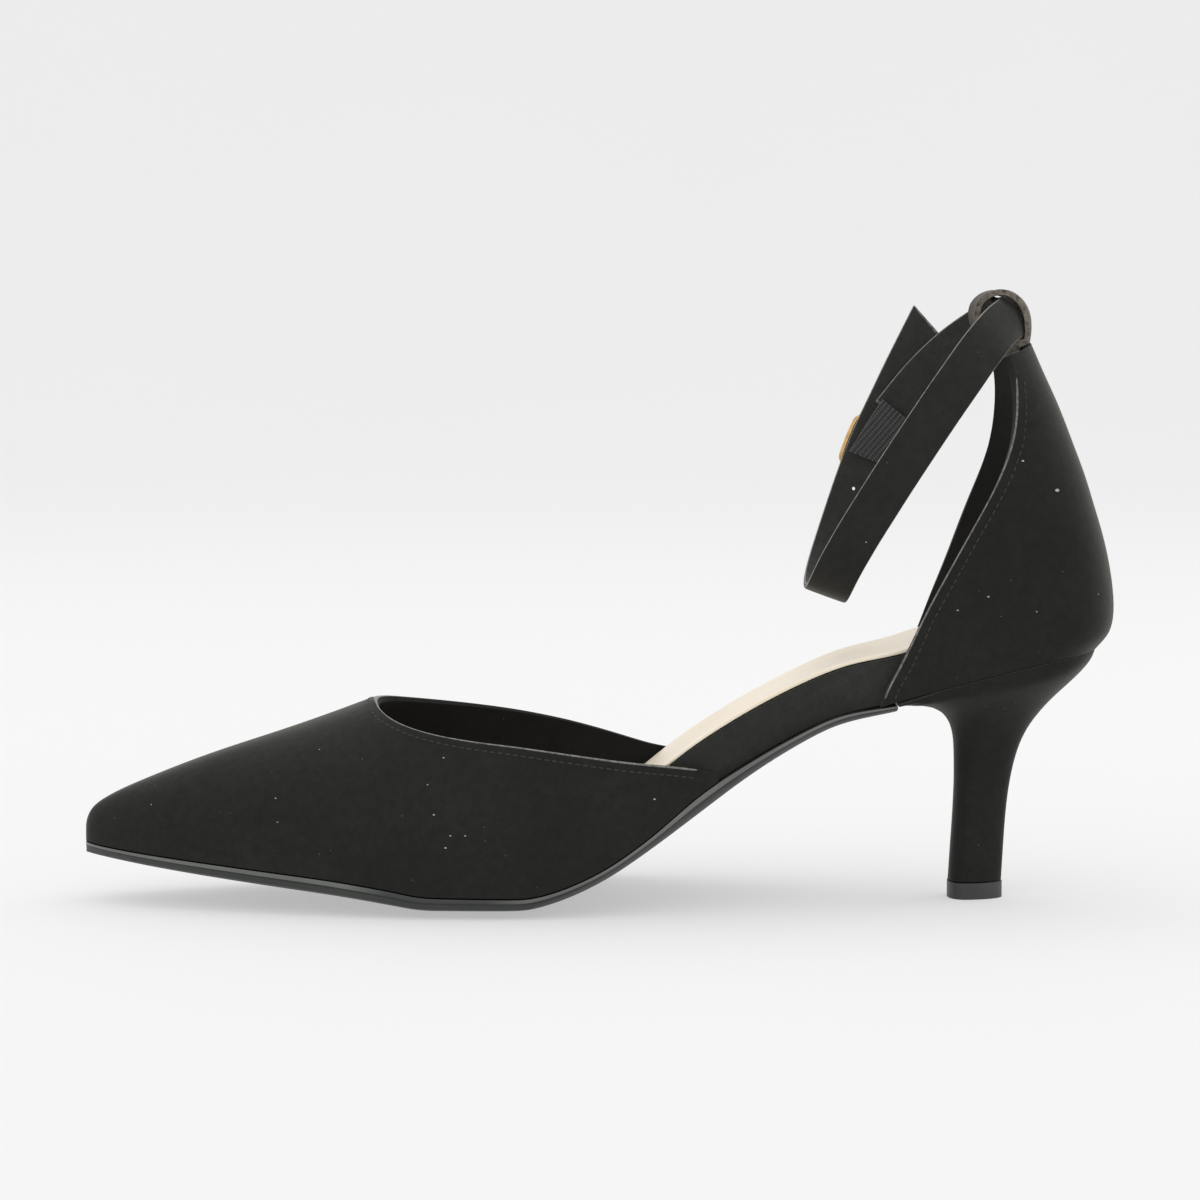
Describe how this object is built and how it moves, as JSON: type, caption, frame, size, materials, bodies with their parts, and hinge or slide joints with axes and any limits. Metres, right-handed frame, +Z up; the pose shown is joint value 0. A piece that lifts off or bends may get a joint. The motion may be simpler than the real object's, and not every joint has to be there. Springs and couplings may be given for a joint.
{
  "type": "dorsay pump",
  "caption": "Pointed dorsay pump with an open waist, a high quarter, a slim mid-height heel, and an ankle strap that runs through a tunnel on the quarter to a small buckle on elastic.",
  "frame": {"origin": "on the floor, under the middle of the shoe's bounding box", "axes": "X runs from the toe at -X to the heel at +X, Y from the inner side of the foot at -Y to the outer side at +Y, +Z up from the floor"},
  "size_m": [0.245, 0.0764, 0.1449],
  "materials": {
    "black_suede": "matte suede nap",
    "cream_leather": "satin",
    "sole_rubber": "satin",
    "lift_rubber": "matte",
    "black_elastic": "ribbed weave",
    "gold_metal": "polished"
  },
  "bodies": {
    "root": {"outsole": "sole_rubber", "heel": "black_suede", "top_lift": "lift_rubber", "insole_board": "black_suede", "insole": "cream_leather", "vamp": "black_suede", "quarter": "black_suede", "strap_loop": "black_suede", "ankle_strap": "black_suede", "elastic": "black_elastic", "buckle": "gold_metal", "buckle_prong": "gold_metal"}
  },
  "joints": []
}
